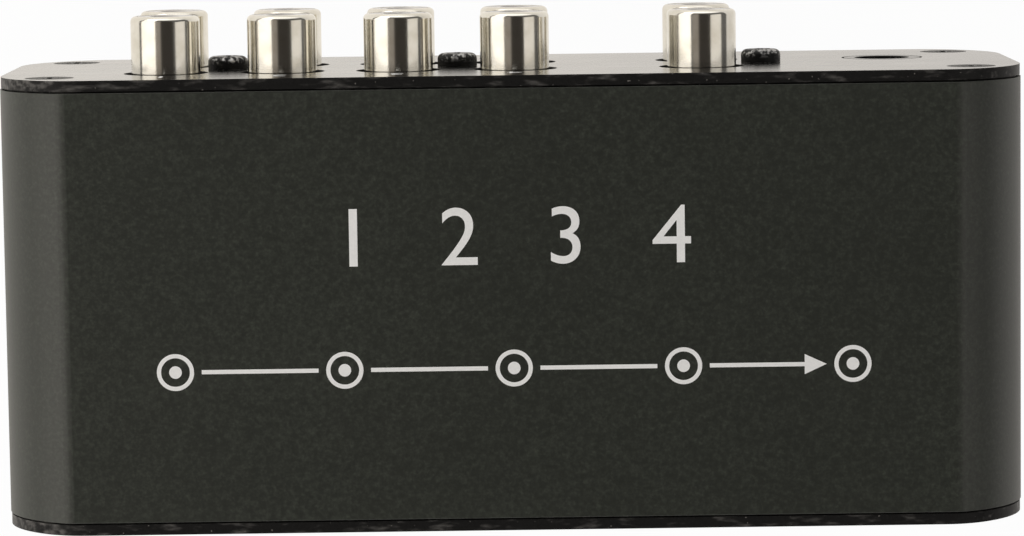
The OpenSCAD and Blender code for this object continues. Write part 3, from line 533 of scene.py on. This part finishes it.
def ink_piece(name, placed_shapes, finish):
    """Joins flat shapes into one layer of ink with a thickness, each laid by its own matrix."""
    layer = bmesh.new()
    for shape, matrix in placed_shapes:
        grown = bmesh.ops.extrude_face_region(shape, geom=shape.faces[:])
        raised = [v for v in grown["geom"] if isinstance(v, bmesh.types.BMVert)]
        bmesh.ops.translate(shape, vec=Vector((0, 0, INK_T)), verts=raised)
        bmesh.ops.translate(shape, vec=Vector((0, 0, -INK_BITE)), verts=shape.verts)
        bmesh.ops.transform(shape, matrix=matrix, verts=shape.verts)
        part = bpy.data.meshes.new(name)
        shape.to_mesh(part)
        shape.free()
        layer.from_mesh(part)
        bpy.data.meshes.remove(part)
    bmesh.ops.recalc_face_normals(layer, faces=layer.faces)
    mesh = bpy.data.meshes.new(name)
    layer.to_mesh(mesh)
    layer.free()
    mesh.materials.append(finish.material)
    piece = bpy.data.objects.new(name, mesh)
    bpy.context.scene.collection.objects.link(piece)
    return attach(piece, "case")


def on_cover(x, y):
    """Flat on the cover, read from the front."""
    return Matrix.Translation(COVER_MID + Vector((x, y, 0)))


def on_rear(x, z):
    """Upright on the rear panel, read from behind."""
    return Matrix.Translation((x, REAR_FACE, z)) @ Euler((math.pi / 2, 0, math.pi)).to_matrix().to_4x4()


def on_front(x, z):
    """Upright on the front panel, read from the front."""
    return Matrix.Translation((x, FRONT_FACE, z)) @ Euler((math.pi / 2, 0, 0)).to_matrix().to_4x4()


def cover_numbers(ink):
    """The four channel numbers, large on the cover."""
    placed = []
    for i, channel in enumerate(CHANNELS):
        x = (i / (len(CHANNELS) - 1) - 0.5) * COVER_NUMBER_SPAN
        digit = digit_outline(str(channel), COVER_NUMBER_H)
        placed.append((digit, on_cover(x, COVER_NUMBER_Y)))
    return ink_piece("cover_numbers", placed, ink)


def cover_diagram(ink):
    """Four socket marks whose line leads by an arrow to a fifth."""
    marks = len(CHANNELS) + 1
    pitch = DIAGRAM_SPAN / (marks - 1)
    reach = SOCKET_MARK_D / 2 + SOCKET_MARK_GAP
    placed = []
    for i in range(marks):
        here = on_cover((i - (marks - 1) / 2) * pitch, DIAGRAM_Y)
        placed.append((ring(SOCKET_MARK_D, SOCKET_MARK_D - 2 * SOCKET_MARK_LINE), here))
        placed.append((disc(SOCKET_MARK_DOT_D), here))
        if i < marks - 2:
            placed.append((bar(reach, pitch - reach, SOCKET_MARK_LINE), here))
    arrow_start = on_cover(((marks - 1) / 2 - 1) * pitch, DIAGRAM_Y)
    tip = pitch - reach
    head = [(tip - ARROW_L, -ARROW_W / 2), (tip, 0), (tip - ARROW_L, ARROW_W / 2)]
    placed.append((bar(reach, tip - ARROW_L, SOCKET_MARK_LINE), arrow_start))
    placed.append((outline(head), arrow_start))
    return ink_piece("cover_diagram", placed, ink)


def panel_numbers(name, node, rise, on_panel, ink):
    """Small channel numbers on a panel, each over the node of its own channel."""
    placed = []
    for channel in CHANNELS:
        low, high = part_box(node.format(channel))
        digit = digit_outline(str(channel), PANEL_NUMBER_H)
        placed.append((digit, on_panel((low.x + high.x) / 2, high.z + rise)))
    return ink_piece(name, placed, ink)


def pale_floor():
    """Pale paint that mostly glows where it is seen straight, in a mirror or through plastic; in a mirror
    its glow is painted light, lighter on the left and darker on the right.
    """
    finish = Finish("pale_floor", Roughness=0.9, Specular_IOR_Level=0.0)
    finish.set(Base_Color=finish.mix(finish.noise(FLOOR_PATCH_W), grey(0.8), grey(0.83)))
    seen = finish.node("ShaderNodeLightPath", output="Is Camera Ray")
    mirrored = finish.node("ShaderNodeLightPath", output="Is Glossy Ray")
    through = finish.node("ShaderNodeLightPath", output="Is Transmission Ray")
    across = finish.part("X", finish.place)
    # Painted light and shade: in mirrors the floor glows lighter on the left and darker on the right, as if
    # lit from the left
    tone = finish.mix(across.step(*FLOOR_BLEND), FLOOR_PAINTED_LIGHT_LEFT, FLOOR_PAINTED_SHADE_RIGHT)
    glow = finish.node(
        "ShaderNodeEmission", None, {"Color": finish.mix(mirrored, grey(1.0), tone), "Strength": 1.0}
    )
    share = FLOOR_GLOW * seen.either(mirrored).either(through)
    lit = Wire(finish, finish.shader.outputs["BSDF"])
    shown = finish.node("ShaderNodeMixShader", None, {0: share, 1: lit, 2: glow})
    finish.feed(finish.node_tree.nodes["Material Output"].inputs["Surface"], shown)
    return finish


def white_floor():
    """Wide floor that reads as white and keeps the box's shadow."""
    shape = bmesh.new()
    bmesh.ops.create_grid(shape, size=FLOOR_W / 2)
    mesh = bpy.data.meshes.new("floor")
    shape.to_mesh(mesh)
    shape.free()
    mesh.materials.append(pale_floor().material)
    floor = bpy.data.objects.new("floor", mesh)
    bpy.context.scene.collection.objects.link(floor)
    return floor


def soft_box(name, x, low, high, length, radiance):
    """Large even lamp that stands beside the box and faces it."""
    lamp = bpy.data.lights.new(name, "AREA")
    lamp.shape = "RECTANGLE"
    lamp.size = high - low
    lamp.size_y = length
    lamp.energy = radiance * math.pi * (high - low) * length
    lamp.color = LAMP_COLOUR
    stand = bpy.data.objects.new(name, lamp)
    stand.location = (x, COVER_MID.y, (low + high) / 2)
    stand.rotation_euler = (0, math.copysign(math.pi / 2, x), 0)
    bpy.context.scene.collection.objects.link(stand)
    return stand


def room_light():
    """Room with grey side walls, bright end walls and a dark ceiling over the box."""
    world = bpy.data.worlds.new("room")
    world.use_nodes = True
    tree = Tree(world.node_tree)
    direction = tree.node("ShaderNodeTexCoord", output="Generated")
    along = tree.part("Y", direction)
    ends = (along * along).step(*END_WALL_BLEND)
    walls = tree.mix(ends, grey(SIDE_WALL, WALL_WARMTH), grey(END_WALL, WALL_WARMTH))
    rest = tree.part("X", direction).step(*CEILING_BLEND)
    ceiling = tree.mix(rest, grey(CEILING_LEFT, CEILING_WARMTH), grey(CEILING_REST, CEILING_WARMTH))
    gone, full = (math.cos(math.radians(angle)) for angle in (CEILING_GONE, CEILING_FULL))
    overhead = tree.part("Z", direction).step(gone, full)
    shade = tree.mix(overhead, walls, ceiling)
    tree.feed(world.node_tree.nodes["Background"].inputs["Color"], shade)
    bpy.context.scene.world = world
    return world


def camera_over_cover():
    """Camera that looks down on the cover, with the sockets at the top of the picture."""
    lens = bpy.data.cameras.new("camera")
    lens.sensor_width = SENSOR_W
    lens.lens = LENS
    camera = bpy.data.objects.new("camera", lens)
    turn = Euler([math.radians(angle) for angle in CAMERA_TURN], "ZYX").to_matrix()
    camera.matrix_world = Matrix.Translation(COVER_MID + turn @ CAMERA_OFFSET) @ turn.to_4x4()
    bpy.context.scene.collection.objects.link(camera)
    bpy.context.scene.camera = camera
    return camera


finishes = slot_finishes()
dress_nodes(finishes)
return_spring(finishes["spring"])
ink = white_ink()
cover_numbers(ink)
cover_diagram(ink)
panel_numbers("rear_numbers", "input_{}_upper_sleeve", REAR_NUMBER_RISE, on_rear, ink)
panel_numbers("front_numbers", "channel_{}_lamp", FRONT_NUMBER_RISE, on_front, ink)
white_floor()
soft_box("left_soft_box", **LEFT_BOX)
soft_box("right_soft_box", **RIGHT_BOX)
room_light()
camera_over_cover()
bpy.context.scene.view_settings.view_transform = "Standard"
